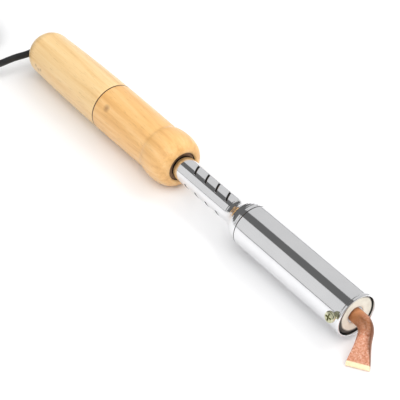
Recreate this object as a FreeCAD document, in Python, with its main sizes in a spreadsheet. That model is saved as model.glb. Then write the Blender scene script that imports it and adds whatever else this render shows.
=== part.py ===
"""Mains soldering iron with a turned wooden handle and a bent copper bit, as a parametric document.

Frame: +X runs along the iron towards the bit and +Z is up. The iron lies on the surface z = 0, on the
swell of its handle and on the edge of its bit. Pieces turned about the iron's axis are drawn in a local
frame whose X is the station, which is 2 mm at the rear end of the handle. All lengths are millimetres.
"""
import FreeCAD
import Part
import Sketcher
import math
import os
from types import SimpleNamespace

from FreeCAD import Placement, Rotation, Vector

AXIS_X = Vector(1, 0, 0)
AXIS_Z = Vector(0, 0, 1)
OUT = "parts"

doc = FreeCAD.newDocument("soldering_iron")

DIMENSIONS = {
    # where the iron lies
    "rear_x": -178.9, "axis_height": 17.9,
    # wooden handle, in station along the iron and radius
    "rear_end": 2.0, "cap_end_radius": 7.0, "cap_dome": 12.5, "cap_dome_station": 15.0,
    "cap_rear_radius": 15.4,
    "cap_sweep": 1750.0, "seam_station": 89.4, "seam_radius": 16.7, "seam_chamfer": 0.4,
    "spigot_length": 17.0, "spigot_radius": 12.5, "socket_play": 0.08, "cavity_radius": 10.2,
    "cavity_station": 16.0, "cord_hole_radius": 4.0,
    "front_sweep": 2500.0, "neck_station": 140.2, "neck_radius": 16.3, "neck_hollow": 9.0,
    "swell_start_station": 145.0, "swell_start_radius": 17.1, "swell_sweep": 40.0,
    "swell_station": 154.0, "swell_radius": 17.9, "nose_sweep": 27.0, "nose_station": 162.0,
    "nose_radius": 16.4, "nose_corner": 7.0, "front_station": 166.5, "recess_radius": 10.0,
    "recess_station": 158.0, "seat_station": 118.0, "wood_bore_radius": 9.5,
    "pin_station": 100.0, "pin_radius": 0.9, "pin_roll": 45.0,
    # shank tube with its vent slots and shoulder
    "shank_radius": 8.2, "tube_wall": 0.9, "shank_start": 115.5, "shank_flange_radius": 9.0,
    "shoulder_start": 217.5, "shoulder_mid": 226.2, "shoulder_mid_radius": 11.0,
    "shoulder_hollow": 14.9, "shoulder_swell": 15.7, "shoulder_end": 235.3,
    "shoulder_end_radius": 13.9, "shank_sleeve_radius": 13.1, "shank_end": 247.0,
    "slot_width": 1.6, "slot_chord": 6.8, "slot_slant": 2.2, "slot_station": 181.3, "slot_pitch": 10.45,
    "slot_roll": 2.0,
    # heater barrel
    "barrel_start": 235.7, "barrel_radius": 14.0, "barrel_wall": 0.8, "barrel_end": 330.5,
    "bead_length": 2.2, "bead_bow": 1.3,
    # heater inside the barrel
    "sleeve_start": 256.0, "sleeve_end": 328.7, "sleeve_bore": 4.57, "sleeve_radius": 5.6,
    "winding_start": 262.0, "winding_end": 318.0, "winding_radius": 6.4, "wire_radius": 0.42,
    "wire_pitch": 2.0, "bush_start": 321.5, "bush_end": 329.3, "bush_radius": 12.7, "bush_edge": 0.8,
    "disc_station": 250.0, "disc_thickness": 4.5, "lead_offset": 3.0, "lead_radius": 1.2,
    "lead_start": 72.0, "lead_end": 258.5,
    # bit clamp: M4 screw, 0.7 mm pitch
    "screw_station": 326.3, "screw_roll": 69.0, "thread_radius": 2.0, "thread_play": 0.06,
    "thread_pitch": 0.7, "thread_depth": 0.33, "screw_point": 4.58, "head_underside": 17.25,
    "head_radius": 3.5, "head_height": 2.4, "recess_width": 0.9, "recess_span": 4.4,
    "recess_depth": 1.3, "nut_side": 5.0,
    "nut_base": 5.8, "nut_height": 3.0,
    # copper bit
    "bit_start": 261.0, "bit_radius": 4.5, "bend_station": 339.5, "bend_angle": 66.3,
    "bend_roll": 42.0, "bend_sweep": 8.0, "blade_width": 14.2, "blade_thickness": 3.2,
    "edge_thickness": 1.0, "bevel_length": 2.7, "blade_corner": 0.5,
    # terminal block and cord anchorage inside the handle
    "block_station": 50.0, "block_length": 22.0, "block_width": 16.0, "block_height": 10.0,
    "terminal_offset": 3.5, "terminal_inset": 5.0, "terminal_radius": 1.6,
    "terminal_head_radius": 2.4, "terminal_head": 1.4,
    "clamp_station": 17.0, "clamp_length": 6.0, "clamp_width": 15.6, "clamp_height": 3.0,
    "clamp_screw_offset": 4.8, "clamp_screw_radius": 1.2, "clamp_head_radius": 2.1,
    # cord, hank and plug
    "cord_radius": 2.4, "cord_start": 11.0, "jacket_end": 44.0, "core_radius": 0.9,
    "hank_x": -259.5, "hank_y": -27.0, "hank_half_length": 27.5, "hank_lane": 14.4,
    "hank_height": 14.4, "tie_x": -242.5, "tie_width": 8.0, "tie_thickness": 1.0,
    "plug_y": -43.8, "plug_rear_x": -254.5, "plug_length": 30.0, "plug_width": 22.0,
    "plug_height": 15.5, "plug_corner": 5.0, "blade_pin_length": 17.0, "blade_pin_height": 6.3,
    "blade_pin_thickness": 1.5, "blade_pin_spacing": 12.7, "relief_length": 20.0,
    "relief_radius": 5.2,
}

sheet = doc.addObject("Spreadsheet::Sheet", "dims")
for row, (alias, number) in enumerate(DIMENSIONS.items(), start=1):
    sheet.set("A%d" % row, alias)
    sheet.set("B%d" % row, str(number))
    sheet.setAlias("B%d" % row, alias)
doc.recompute()


class Size:
    """A length as a number and as the expression that gives it from the spreadsheet."""

    def __init__(self, value, text):
        self.value = value
        self.text = text

    def combined(self, other, sign, value):
        return Size(value, "(%s %s %s)" % (self.text, sign, as_size(other).text))

    def __add__(self, other):
        return self.combined(other, "+", self.value + as_size(other).value)

    def __sub__(self, other):
        return self.combined(other, "-", self.value - as_size(other).value)

    def __mul__(self, other):
        return self.combined(other, "*", self.value * as_size(other).value)

    def __truediv__(self, other):
        return self.combined(other, "/", self.value / as_size(other).value)


def as_size(number):
    return number if isinstance(number, Size) else Size(float(number), repr(float(number)))


dim = SimpleNamespace(**{alias: Size(number, "dims." + alias) for alias, number in DIMENSIONS.items()})
ZERO = as_size(0)


def bind(thing, prop, size):
    """Ties a property of a document object to the spreadsheet."""
    thing.setExpression(prop, as_size(size).text)


def place_on_axis(thing, roll=None):
    """Puts a piece drawn along the iron's axis where the iron lies, turned about that axis by roll."""
    if roll is not None:
        thing.Placement = Placement(Vector(), Rotation(AXIS_X, roll.value))
        thing.setExpression("Placement.Rotation.Angle", roll.text)
    bind(thing, "Placement.Base.x", dim.rear_x)
    bind(thing, "Placement.Base.z", dim.axis_height)


def origin_plane(body, role):
    return next(feature for feature in body.Origin.OriginFeatures if feature.Role == role)


def new_sketch(body, name, role):
    sketch = body.newObject("Sketcher::SketchObject", name)
    sketch.AttachmentSupport = (origin_plane(body, role), "")
    sketch.MapMode = "FlatFace"
    return sketch


def fix_point(sketch, edge, end, x, y):
    """Dimensions one end of a sketch edge from the sketch's origin."""
    for kind, size, axis in (("DistanceX", x, -2), ("DistanceY", y, -1)):
        if size.value == 0:
            sketch.addConstraint(Sketcher.Constraint("PointOnObject", edge, end, axis))
            continue
        index = sketch.addConstraint(Sketcher.Constraint(kind, -1, 1, edge, end, size.value))
        sketch.setExpression("Constraints[%d]" % index, size.text)


def arc_between(start, end, radius):
    """The short arc joining start and end; a positive radius bows it to the left of the chord."""
    chord = end - start
    left = Vector(-chord.y, chord.x, 0).normalize()
    size = abs(radius)
    centre = (start + end) / 2 - left * math.copysign(math.sqrt(size ** 2 - chord.Length ** 2 / 4), radius)
    first, last = (end, start) if radius > 0 else (start, end)
    angles = [math.atan2(point.y - centre.y, point.x - centre.x) for point in (first, last)]
    if angles[1] < angles[0]:
        angles[1] += 2 * math.pi
    return Part.ArcOfCircle(Part.Circle(centre, AXIS_Z, size), *angles)


def draw_outline(sketch, points):
    """Closes an outline through points (x, y) or (x, y, radius), where radius bows the next edge."""
    places = [Vector(as_size(point[0]).value, as_size(point[1]).value, 0) for point in points]
    for index, point in enumerate(points):
        start = places[index]
        end = places[(index + 1) % len(points)]
        bow = point[2] if len(point) > 2 else None
        first = 1
        if bow is None:
            edge = sketch.addGeometry(Part.LineSegment(start, end))
        else:
            edge = sketch.addGeometry(arc_between(start, end, bow.value))
            first = 2 if bow.value > 0 else 1
            size = bow if bow.value > 0 else bow * -1
            radius = sketch.addConstraint(Sketcher.Constraint("Radius", edge, size.value))
            sketch.setExpression("Constraints[%d]" % radius, size.text)
        last_x, last_y = points[(index + 1) % len(points)][:2]
        fix_point(sketch, edge, first, as_size(point[0]), as_size(point[1]))
        fix_point(sketch, edge, 3 - first, as_size(last_x), as_size(last_y))


def turned(name, outline, roll=None):
    """A body turned about the iron's axis from an outline of (station, radius) points."""
    body = doc.addObject("PartDesign::Body", name)
    sketch = new_sketch(body, name + "_outline", "XZ_Plane")
    draw_outline(sketch, outline)
    revolution = body.newObject("PartDesign::Revolution", name + "_turned")
    revolution.Profile = sketch
    revolution.ReferenceAxis = (sketch, ["H_Axis"])
    revolution.Angle = 360
    place_on_axis(body, roll)
    return body


def tube(name, start, end, bore, radius, roll=None):
    return turned(name, [(start, bore), (start, radius), (end, radius), (end, bore)], roll)


def pocket(body, name, sketch, depth, both_sides=False):
    """Cuts a sketch on the XY plane into a body, upwards from the iron's axis, or both ways."""
    doc.recompute()
    before = body.Shape.Volume
    cut = body.newObject("PartDesign::Pocket", name)
    cut.Profile = sketch
    cut.Reversed = True
    if both_sides:
        cut.Midplane = True
    bind(cut, "Length", depth)
    doc.recompute()
    if body.Shape.Volume > before - 1e-3:
        raise RuntimeError(name + " cuts nothing")
    return cut


def radial_hole(body, station, radius, depth, both_sides=False):
    """Drills a round hole square to the iron's axis, along the body's own Z."""
    sketch = new_sketch(body, body.Name + "_hole", "XY_Plane")
    place = Vector(station.value, 0, 0)
    edge = sketch.addGeometry(Part.Circle(place, AXIS_Z, as_size(radius).value))
    fix_point(sketch, edge, 3, station, ZERO)
    index = sketch.addConstraint(Sketcher.Constraint("Radius", edge, as_size(radius).value))
    sketch.setExpression("Constraints[%d]" % index, as_size(radius).text)
    return pocket(body, body.Name + "_drilled", sketch, depth, both_sides)


def rectangle(sketch, x, y, length, width):
    """Draws a rectangle centred on x and y; x and y may be negative."""
    corners = [(-0.5, -0.5), (0.5, -0.5), (0.5, 0.5), (-0.5, 0.5)]
    draw_outline(sketch, [(as_size(x) + length * u, as_size(y) + width * v) for u, v in corners])


def cylinder(name, radius, height, x, y, z, direction=AXIS_Z):
    """A Part cylinder from (x, y, z) in the iron's own frame, along direction."""
    made = doc.addObject("Part::Cylinder", name)
    bind(made, "Radius", radius)
    bind(made, "Height", height)
    made.Placement = Placement(Vector(), Rotation(AXIS_Z, direction))
    bind(made, "Placement.Base.x", x)
    bind(made, "Placement.Base.y", y)
    bind(made, "Placement.Base.z", z)
    return made


def block(name, x, y, z, length, width, height):
    """A Part box with its lowest corner at (x, y, z)."""
    made = doc.addObject("Part::Box", name)
    for prop, size in (("Length", length), ("Width", width), ("Height", height),
                       ("Placement.Base.x", x), ("Placement.Base.y", y), ("Placement.Base.z", z)):
        bind(made, prop, size)
    return made


def joined(name, pieces):
    fuse = doc.addObject("Part::MultiFuse", name)
    fuse.Shapes = pieces
    return fuse


def cut_from(name, base, tools):
    """Takes one or more tools out of a base."""
    cut = doc.addObject("Part::Cut", name)
    cut.Base = base
    cut.Tool = tools[0] if len(tools) == 1 else joined(name + "_tools", tools)
    return cut


def group(name, pieces):
    """Identical fasteners kept as separate solids in one sub-part."""
    made = doc.addObject("Part::Compound", name)
    made.Links = pieces
    return made


# ---------------------------------------------------------------- wooden handle

def handle_rear_cap():
    seam_flat = dim.seam_radius - dim.seam_chamfer
    body = turned("handle_rear_cap", [
        (dim.rear_end, dim.cord_hole_radius),
        (dim.rear_end, dim.cap_end_radius, dim.cap_dome),
        (dim.cap_dome_station, dim.cap_rear_radius, dim.cap_sweep),
        (dim.seam_station - dim.seam_chamfer, dim.seam_radius),
        (dim.seam_station, seam_flat),
        (dim.seam_station, dim.spigot_radius),
        (dim.seam_station + dim.spigot_length, dim.spigot_radius),
        (dim.seam_station + dim.spigot_length, dim.wood_bore_radius),
        (dim.cavity_station, dim.wood_bore_radius),
        (dim.cavity_station, dim.cord_hole_radius),
    ], dim.pin_roll)
    radial_hole(body, dim.pin_station, dim.pin_radius, dim.seam_radius * 3, both_sides=True)
    return body


def handle_front():
    socket = dim.spigot_radius + dim.socket_play
    socket_end = dim.seam_station + dim.spigot_length + dim.socket_play
    body = turned("handle_front", [
        (dim.seam_station, socket),
        (dim.seam_station, dim.seam_radius - dim.seam_chamfer),
        (dim.seam_station + dim.seam_chamfer, dim.seam_radius, dim.front_sweep),
        (dim.neck_station, dim.neck_radius, dim.neck_hollow * -1),
        (dim.swell_start_station, dim.swell_start_radius, dim.swell_sweep),
        (dim.swell_station, dim.swell_radius, dim.nose_sweep),
        (dim.nose_station, dim.nose_radius, dim.nose_corner),
        (dim.front_station, dim.recess_radius + 1),
        (dim.front_station - 1, dim.recess_radius),
        (dim.recess_station, dim.recess_radius),
        (dim.recess_station, dim.shank_radius),
        (dim.seat_station, dim.shank_radius),
        (dim.seat_station, dim.wood_bore_radius),
        (socket_end, dim.wood_bore_radius),
        (socket_end, socket),
    ], dim.pin_roll)
    radial_hole(body, dim.pin_station, dim.pin_radius, dim.seam_radius * 3, both_sides=True)
    return body


def cap_pins():
    """Two steel pins that lock the cap's spigot in the front piece, one each side."""
    length = dim.seam_radius - dim.wood_bore_radius - 0.4
    pins = []
    for side, turn in (("upper", 0), ("lower", 180)):
        pin = doc.addObject("Part::Cylinder", "cap_pin_" + side)
        bind(pin, "Radius", dim.pin_radius)
        bind(pin, "Height", length)
        roll = Rotation(AXIS_X, dim.pin_roll.value + turn)
        start = roll.multVec(Vector(0, 0, dim.wood_bore_radius.value + 0.3))
        pin.Placement = Placement(start, roll)
        bind(pin, "Placement.Base.x", dim.rear_x + dim.pin_station)
        bind(pin, "Placement.Base.z", dim.axis_height + start.z)
        pins.append(pin)
    return group("cap_pins", pins)


def insulating_bush():
    """Fibre ring pressed round the shank at the bottom of the handle's front recess."""
    return tube("insulating_bush", dim.recess_station, dim.recess_station + 6.3,
                dim.shank_radius, dim.recess_radius - 0.2)


# ---------------------------------------------------------------- metal shank and barrel

def shank_tube():
    inner = dim.shank_radius - dim.tube_wall
    body = turned("shank_tube", [
        (dim.shank_start, inner),
        (dim.shank_start, dim.shank_flange_radius),
        (dim.shank_start + 1, dim.shank_flange_radius),
        (dim.shank_start + 1, dim.shank_radius),
        (dim.shoulder_start, dim.shank_radius, dim.shoulder_hollow * -1),
        (dim.shoulder_mid, dim.shoulder_mid_radius, dim.shoulder_swell),
        (dim.shoulder_end, dim.shoulder_end_radius),
        (dim.shoulder_end, dim.shank_sleeve_radius),
        (dim.shank_end, dim.shank_sleeve_radius),
        (dim.shank_end, dim.shank_sleeve_radius - dim.tube_wall),
        (dim.shoulder_end, dim.shank_sleeve_radius - dim.tube_wall, dim.shoulder_swell * -1),
        (dim.shoulder_mid, dim.shoulder_mid_radius - dim.tube_wall, dim.shoulder_hollow),
        (dim.shoulder_start, inner),
    ], dim.slot_roll)
    sketch = new_sketch(body, "vent_slot", "XY_Plane")
    before = dim.slot_station - dim.slot_width / 2
    after = dim.slot_station + dim.slot_width / 2
    half = dim.slot_chord / 2
    draw_outline(sketch, [(before + dim.slot_slant, half * -1), (after + dim.slot_slant, half * -1),
                          (after - dim.slot_slant, half), (before - dim.slot_slant, half)])
    slot = pocket(body, "vent_slot_cut", sketch, dim.shank_radius * 2)
    rows = body.newObject("PartDesign::LinearPattern", "vent_slot_row")
    rows.Direction = (sketch, ["H_Axis"])
    rows.Occurrences = 4
    bind(rows, "Length", dim.slot_pitch * 3)
    around = body.newObject("PartDesign::PolarPattern", "vent_slot_rows_round_tube")
    around.Axis = (sketch, ["H_Axis"])
    around.Occurrences = 3
    around.Angle = 360
    both = body.newObject("PartDesign::MultiTransform", "vent_slots")
    both.Originals = [slot]
    both.Transformations = [rows, around]
    body.Tip = both
    return body


def retaining_washer():
    """Steel washer that the peened end of the shank holds against the wood."""
    return tube("retaining_washer", dim.shank_start + 1, dim.seat_station, dim.shank_radius,
                dim.wood_bore_radius - 0.2)


def barrel():
    inner = dim.barrel_radius - dim.barrel_wall
    body = turned("barrel", [
        (dim.barrel_start, inner),
        (dim.barrel_start, dim.barrel_radius - 0.3),
        (dim.barrel_start + 0.3, dim.barrel_radius),
        (dim.barrel_end - dim.bead_length, dim.barrel_radius, dim.bead_bow),
        (dim.barrel_end, dim.barrel_radius),
        (dim.barrel_end, inner),
    ], dim.screw_roll)
    radial_hole(body, dim.screw_station, dim.thread_radius + 0.5, dim.barrel_radius * 2)
    return body


# ---------------------------------------------------------------- heater

def bit_sleeve():
    body = tube("bit_sleeve", dim.sleeve_start, dim.sleeve_end, dim.sleeve_bore, dim.sleeve_radius,
                dim.screw_roll)
    radial_hole(body, dim.screw_station, dim.thread_radius + dim.thread_play, dim.barrel_radius)
    return body


def heating_winding():
    """Resistance wire wound side by side on the mica, drawn as beads on a thin tube."""
    base = dim.winding_radius
    body = tube("heating_winding", dim.winding_start + 2, dim.winding_end - 2, base, base + 0.3)
    sketch = new_sketch(body, "winding_wire", "XZ_Plane")
    station = dim.winding_start + 3
    middle = base + dim.wire_radius + 0.1
    edge = sketch.addGeometry(Part.Circle(Vector(station.value, middle.value, 0), AXIS_Z,
                                          dim.wire_radius.value))
    fix_point(sketch, edge, 3, station, middle)
    index = sketch.addConstraint(Sketcher.Constraint("Radius", edge, dim.wire_radius.value))
    sketch.setExpression("Constraints[%d]" % index, dim.wire_radius.text)
    ring = body.newObject("PartDesign::Revolution", "winding_turn")
    ring.Profile = sketch
    ring.ReferenceAxis = (sketch, ["H_Axis"])
    ring.Angle = 360
    turns = 26
    rows = body.newObject("PartDesign::LinearPattern", "winding_turns")
    rows.Originals = [ring]
    rows.Direction = (sketch, ["H_Axis"])
    rows.Occurrences = turns
    bind(rows, "Length", dim.wire_pitch * (turns - 1))
    body.Tip = rows
    return body


def heater_wraps():
    """Mica inside and outside the winding, and the fibre packing that fills the barrel."""
    wire_top = dim.winding_radius + dim.wire_radius * 2 + 0.1
    tube("mica_inner", dim.winding_start, dim.winding_end, dim.sleeve_radius + 0.05,
         dim.winding_radius - 0.05)
    tube("mica_outer", dim.winding_start, dim.winding_end, wire_top + 0.05, wire_top + 0.65)
    tube("packing_sleeve", dim.lead_end + 0.5, dim.winding_end + 1, wire_top + 0.75,
         dim.barrel_radius - dim.barrel_wall - 0.1)
    return ["mica_inner", "mica_outer", "packing_sleeve"]


def end_bush():
    """Ceramic bush in the mouth of the barrel, with a pocket for the clamp nut."""
    bore = dim.sleeve_radius + 0.05
    body = turned("end_bush", [
        (dim.bush_start, bore),
        (dim.bush_start, dim.bush_radius),
        (dim.bush_end - dim.bush_edge, dim.bush_radius, dim.bush_edge),
        (dim.bush_end, dim.bush_radius - dim.bush_edge),
        (dim.bush_end, bore + 0.5),
        (dim.bush_end - 0.5, bore),
    ], dim.screw_roll)
    radial_hole(body, dim.screw_station, dim.thread_radius + 0.4, dim.barrel_radius)
    sketch = new_sketch(body, "nut_pocket", "XY_Plane")
    rectangle(sketch, dim.screw_station, 0, dim.nut_side + 0.4, dim.nut_side + 0.4)
    pocket(body, "nut_pocket_cut", sketch, dim.nut_base + dim.nut_height + 0.2)
    return body


def end_disc():
    """Ceramic disc behind the heater, with a hole for each heater lead."""
    x = dim.rear_x + dim.disc_station
    radius = dim.barrel_radius - dim.barrel_wall - 0.1
    disc = cylinder("disc_blank", radius, dim.disc_thickness, x, 0, dim.axis_height, AXIS_X)
    holes = [cylinder("disc_hole_" + side, dim.lead_radius + 0.1, dim.disc_thickness + 2, x - 1,
                      dim.lead_offset * sign, dim.axis_height, AXIS_X)
             for side, sign in (("left", 1), ("right", -1))]
    return cut_from("end_disc", disc, holes)


def heater_leads():
    for side, sign in (("left", 1), ("right", -1)):
        cylinder("heater_lead_" + side, dim.lead_radius, dim.lead_end - dim.lead_start,
                 dim.rear_x + dim.lead_start, dim.lead_offset * sign, dim.axis_height, AXIS_X)
    return ["heater_lead_left", "heater_lead_right"]


# ---------------------------------------------------------------- bit clamp

def screw_place(thing):
    """Stands a piece drawn along Z on the clamp screw's line, with z = 0 on the iron's axis."""
    thing.Placement = Placement(Vector(), Rotation(AXIS_X, dim.screw_roll.value))
    thing.setExpression("Placement.Rotation.Angle", dim.screw_roll.text)
    bind(thing, "Placement.Base.x", dim.rear_x + dim.screw_station)
    bind(thing, "Placement.Base.z", dim.axis_height)


def screw_turned(name, outline):
    """A body turned about the clamp screw's line from (radius, height) points."""
    body = doc.addObject("PartDesign::Body", name)
    sketch = new_sketch(body, name + "_outline", "XZ_Plane")
    draw_outline(sketch, outline)
    revolution = body.newObject("PartDesign::Revolution", name + "_turned")
    revolution.Profile = sketch
    revolution.ReferenceAxis = (sketch, ["V_Axis"])
    revolution.Angle = 360
    screw_place(body)
    return body


def clamp_screw():
    top = dim.head_underside + dim.head_height
    body = screw_turned("clamp_screw", [
        (ZERO, dim.screw_point),
        (dim.thread_radius - 0.6, dim.screw_point),
        (dim.thread_radius, dim.screw_point + 0.6),
        (dim.thread_radius, dim.head_underside),
        (dim.head_radius, dim.head_underside),
        (dim.head_radius, top - 1.0, dim.head_radius * -0.5),
        (dim.head_radius - 1.0, top),
        (ZERO, top),
    ])
    groove_sketch = new_sketch(body, "thread_vee", "XZ_Plane")
    first = dim.screw_point + 1.2
    edge = dim.thread_radius + 0.05
    root = dim.thread_radius - dim.thread_depth
    half = dim.thread_pitch * 0.45
    draw_outline(groove_sketch, [(edge, first - half), (edge, first + half), (root, first)])
    groove = body.newObject("PartDesign::Groove", "thread_turn")
    groove.Profile = groove_sketch
    groove.ReferenceAxis = (groove_sketch, ["V_Axis"])
    groove.Angle = 360
    turns = 16
    rows = body.newObject("PartDesign::LinearPattern", "thread_turns")
    rows.Originals = [groove]
    rows.Direction = (groove_sketch, ["V_Axis"])
    rows.Occurrences = turns
    bind(rows, "Length", dim.thread_pitch * (turns - 1))
    body.Tip = rows
    doc.recompute()
    blades = []
    for name, length, width in (("one", dim.recess_span, dim.recess_width),
                                ("two", dim.recess_width, dim.recess_span)):
        blade = doc.addObject("Part::Box", "driver_blade_" + name)
        for prop, size in (("Length", length), ("Width", width), ("Height", dim.recess_depth + 1)):
            bind(blade, prop, size)
        corner = Vector(-length.value / 2, -width.value / 2, (top - dim.recess_depth).value)
        roll = Rotation(AXIS_X, dim.screw_roll.value)
        blade.Placement = Placement(roll.multVec(corner), roll)
        offset = blade.Placement.Base
        bind(blade, "Placement.Base.x", dim.rear_x + dim.screw_station + offset.x)
        bind(blade, "Placement.Base.z", dim.axis_height + offset.z)
        blades.append(blade)
    body.Label = "clamp_screw_blank"
    screw = cut_from("clamp_screw_finished", body, blades)
    screw.Label = "clamp_screw"
    return screw


def clamp_nut():
    """Square nut in the ceramic bush, against the bit sleeve."""
    body = doc.addObject("PartDesign::Body", "clamp_nut")
    sketch = new_sketch(body, "nut_square", "XY_Plane")
    rectangle(sketch, 0, 0, dim.nut_side, dim.nut_side)
    hole = sketch.addGeometry(Part.Circle(Vector(), AXIS_Z, 2))
    sketch.addConstraint(Sketcher.Constraint("Coincident", hole, 3, -1, 1))
    radius = dim.thread_radius + dim.thread_play
    index = sketch.addConstraint(Sketcher.Constraint("Radius", hole, radius.value))
    sketch.setExpression("Constraints[%d]" % index, radius.text)
    pad = body.newObject("PartDesign::Pad", "nut_pad")
    pad.Profile = sketch
    bind(pad, "Length", dim.nut_height)
    roll = Rotation(AXIS_X, dim.screw_roll.value)
    base = roll.multVec(Vector(0, 0, dim.nut_base.value))
    body.Placement = Placement(base, roll)
    bind(body, "Placement.Base.x", dim.rear_x + dim.screw_station)
    bind(body, "Placement.Base.z", dim.axis_height + base.z)
    return body


# ---------------------------------------------------------------- copper bit

def rounded_section(centre, across, through, width, thickness, corner):
    """A rounded rectangle in the plane of across and through, as a wire of four sides and corners."""
    edges = []
    half_w = width / 2 - corner
    half_t = thickness / 2 - corner
    diagonal = corner * math.sqrt(0.5)

    def place(u, v):
        return centre + across * u + through * v

    for su, sv, next_su, next_sv in ((1, 1, -1, 1), (-1, 1, -1, -1), (-1, -1, 1, -1), (1, -1, 1, 1)):
        long_side = su != next_su
        if long_side:
            start = place(su * half_w, sv * thickness / 2)
            end = place(next_su * half_w, sv * thickness / 2)
            corner_mid = place(next_su * (half_w + diagonal), sv * (half_t + diagonal))
            corner_end = place(next_su * width / 2, sv * half_t)
        else:
            start = place(su * width / 2, sv * half_t)
            end = place(su * width / 2, next_sv * half_t)
            corner_mid = place(su * (half_w + diagonal), next_sv * (half_t + diagonal))
            corner_end = place(su * half_w, next_sv * thickness / 2)
        edges.append(Part.LineSegment(start, end).toShape())
        edges.append(Part.Arc(end, corner_mid, corner_end).toShape())
    return Part.Wire(edges)


def copper_tip():
    """Round copper rod, bent over and forged to a fan-shaped chisel that stands on its edge."""
    angle = math.radians(dim.bend_angle.value)
    roll = math.radians(dim.bend_roll.value)
    radius = dim.bit_radius.value
    corner = Vector(dim.rear_x.value + dim.bend_station.value, 0, dim.axis_height.value)
    side = Vector(0, -math.sin(roll), -math.cos(roll))
    leg = AXIS_X * math.cos(angle) + side * math.sin(angle)
    across = Vector(-leg.y, leg.x, 0).normalize()
    front = leg.cross(across)
    if front.z < 0:
        front = front * -1
    back_offset = dim.blade_thickness.value / 2
    leg_length = (dim.axis_height.value - back_offset * front.z) / -leg.z

    sweep = dim.bend_sweep.value
    reach = sweep * math.tan(angle / 2)
    bend_start = corner - AXIS_X * reach
    bend_end = corner + leg * reach
    to_centre = side * sweep
    middle = bend_start + to_centre - (side * math.cos(angle / 2) - AXIS_X * math.sin(angle / 2)) * sweep
    path = Part.Wire([Part.Arc(bend_start, middle, bend_end).toShape()])
    ring = Part.Wire([Part.Circle(bend_start, AXIS_X, radius).toShape()])
    bend = path.makePipeShell([ring], True, True)
    start_x = dim.rear_x.value + dim.bit_start.value
    rod = Part.makeCylinder(radius, bend_start.x - start_x, Vector(start_x, 0, corner.z), AXIS_X)

    span = leg_length - reach
    full = 2 * radius
    width = dim.blade_width.value
    thickness = dim.blade_thickness.value
    stages = (  # share of the leg, width, thickness, corner radius
        (0.0, full, full, 0.96 * radius),
        (0.27, 1.05 * full, 0.84 * full, 0.66 * radius),
        (0.56, 0.80 * width, 0.52 * full, 0.30 * radius),
        (0.86, 0.96 * width, 1.05 * thickness, dim.blade_corner.value),
        (1.0, width, thickness, dim.blade_corner.value),
    )
    sections = [rounded_section(corner + leg * (reach + share * span), across, front, w, t, c)
                for share, w, t, c in stages]
    blade = Part.makeLoft(sections, True, False)

    bevel_top = corner + leg * (leg_length - dim.bevel_length.value) + front * (thickness / 2)
    bevel_foot = corner + leg * leg_length - front * (thickness / 2 - dim.edge_thickness.value)
    down = (bevel_foot - bevel_top).normalize()
    file_cut = Part.makeBox(2 * thickness + 4, 2 * width, thickness)
    file_cut.Placement = Placement(bevel_top - down * 2 - across * width,
                                   Rotation(down, across, down.cross(across), "XYZ"))
    if down.cross(across).dot(front) < 0:
        file_cut.translate(down.cross(across) * -thickness)
    tip = doc.addObject("Part::Feature", "copper_tip")
    tip.Shape = rod.multiFuse([bend, blade]).cut(file_cut).removeSplitter()
    return tip


# ---------------------------------------------------------------- wiring inside the handle

def terminal_block():
    x = dim.rear_x + dim.block_station
    width = dim.block_width
    height = dim.block_height
    blank = block("block_blank", x, width * -0.5, dim.axis_height - height * 0.5, dim.block_length,
                  width, height)
    bores = []
    for end, station in (("rear", dim.terminal_inset), ("front", dim.block_length - dim.terminal_inset)):
        for side, sign in (("left", 1), ("right", -1)):
            bores.append(cylinder("block_bore_%s_%s" % (end, side), dim.terminal_radius + 0.02, height,
                                  x + station, dim.terminal_offset * sign, dim.axis_height - 1))
    return cut_from("terminal_block", blank, bores)


def terminal_screws():
    x = dim.rear_x + dim.block_station
    top = dim.axis_height + dim.block_height * 0.5
    screws = []
    for end, station in (("rear", dim.terminal_inset), ("front", dim.block_length - dim.terminal_inset)):
        for side, sign in (("left", 1), ("right", -1)):
            name = "terminal_%s_%s" % (end, side)
            y = dim.terminal_offset * sign
            shaft = cylinder(name + "_shaft", dim.terminal_radius, dim.block_height * 0.5, x + station, y,
                             dim.axis_height)
            head = cylinder(name + "_head", dim.terminal_head_radius, dim.terminal_head, x + station, y,
                            top)
            screws.append(joined(name + "_screw", [shaft, head]))
    return group("terminal_screws", screws)


def cord_clamp():
    """Two grooved fibre bars and two screws that grip the cord behind the cap's end wall."""
    x = dim.rear_x + dim.clamp_station
    low = dim.axis_height - dim.clamp_height - 2.0
    names = []
    for part, z in (("lower", low), ("upper", dim.axis_height + 2.0)):
        blank = block("clamp_blank_" + part, x, dim.clamp_width * -0.5, z, dim.clamp_length,
                      dim.clamp_width, dim.clamp_height)
        groove = cylinder("clamp_groove_" + part, dim.cord_radius, dim.clamp_length + 2, x - 1, 0,
                          dim.axis_height, AXIS_X)
        holes = [cylinder("clamp_hole_%s_%s" % (part, side), dim.clamp_screw_radius + 0.02,
                          dim.clamp_height + 2, x + dim.clamp_length * 0.5,
                          dim.clamp_screw_offset * sign, z - 1)
                 for side, sign in (("left", 1), ("right", -1))]
        cut_from("cord_clamp_" + part, blank, [groove] + holes)
        names.append("cord_clamp_" + part)
    top = dim.axis_height + 2.0 + dim.clamp_height
    screws = []
    for side, sign in (("left", 1), ("right", -1)):
        y = dim.clamp_screw_offset * sign
        shaft = cylinder("clamp_shaft_" + side, dim.clamp_screw_radius, dim.clamp_height * 2 + 4,
                         x + dim.clamp_length * 0.5, y, low)
        head = cylinder("clamp_head_" + side, dim.clamp_head_radius, 1.2, x + dim.clamp_length * 0.5, y,
                        top)
        screws.append(joined("clamp_bolt_" + side, [shaft, head]))
    group("cord_clamp_screws", screws)
    return names + ["cord_clamp_screws"]


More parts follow.
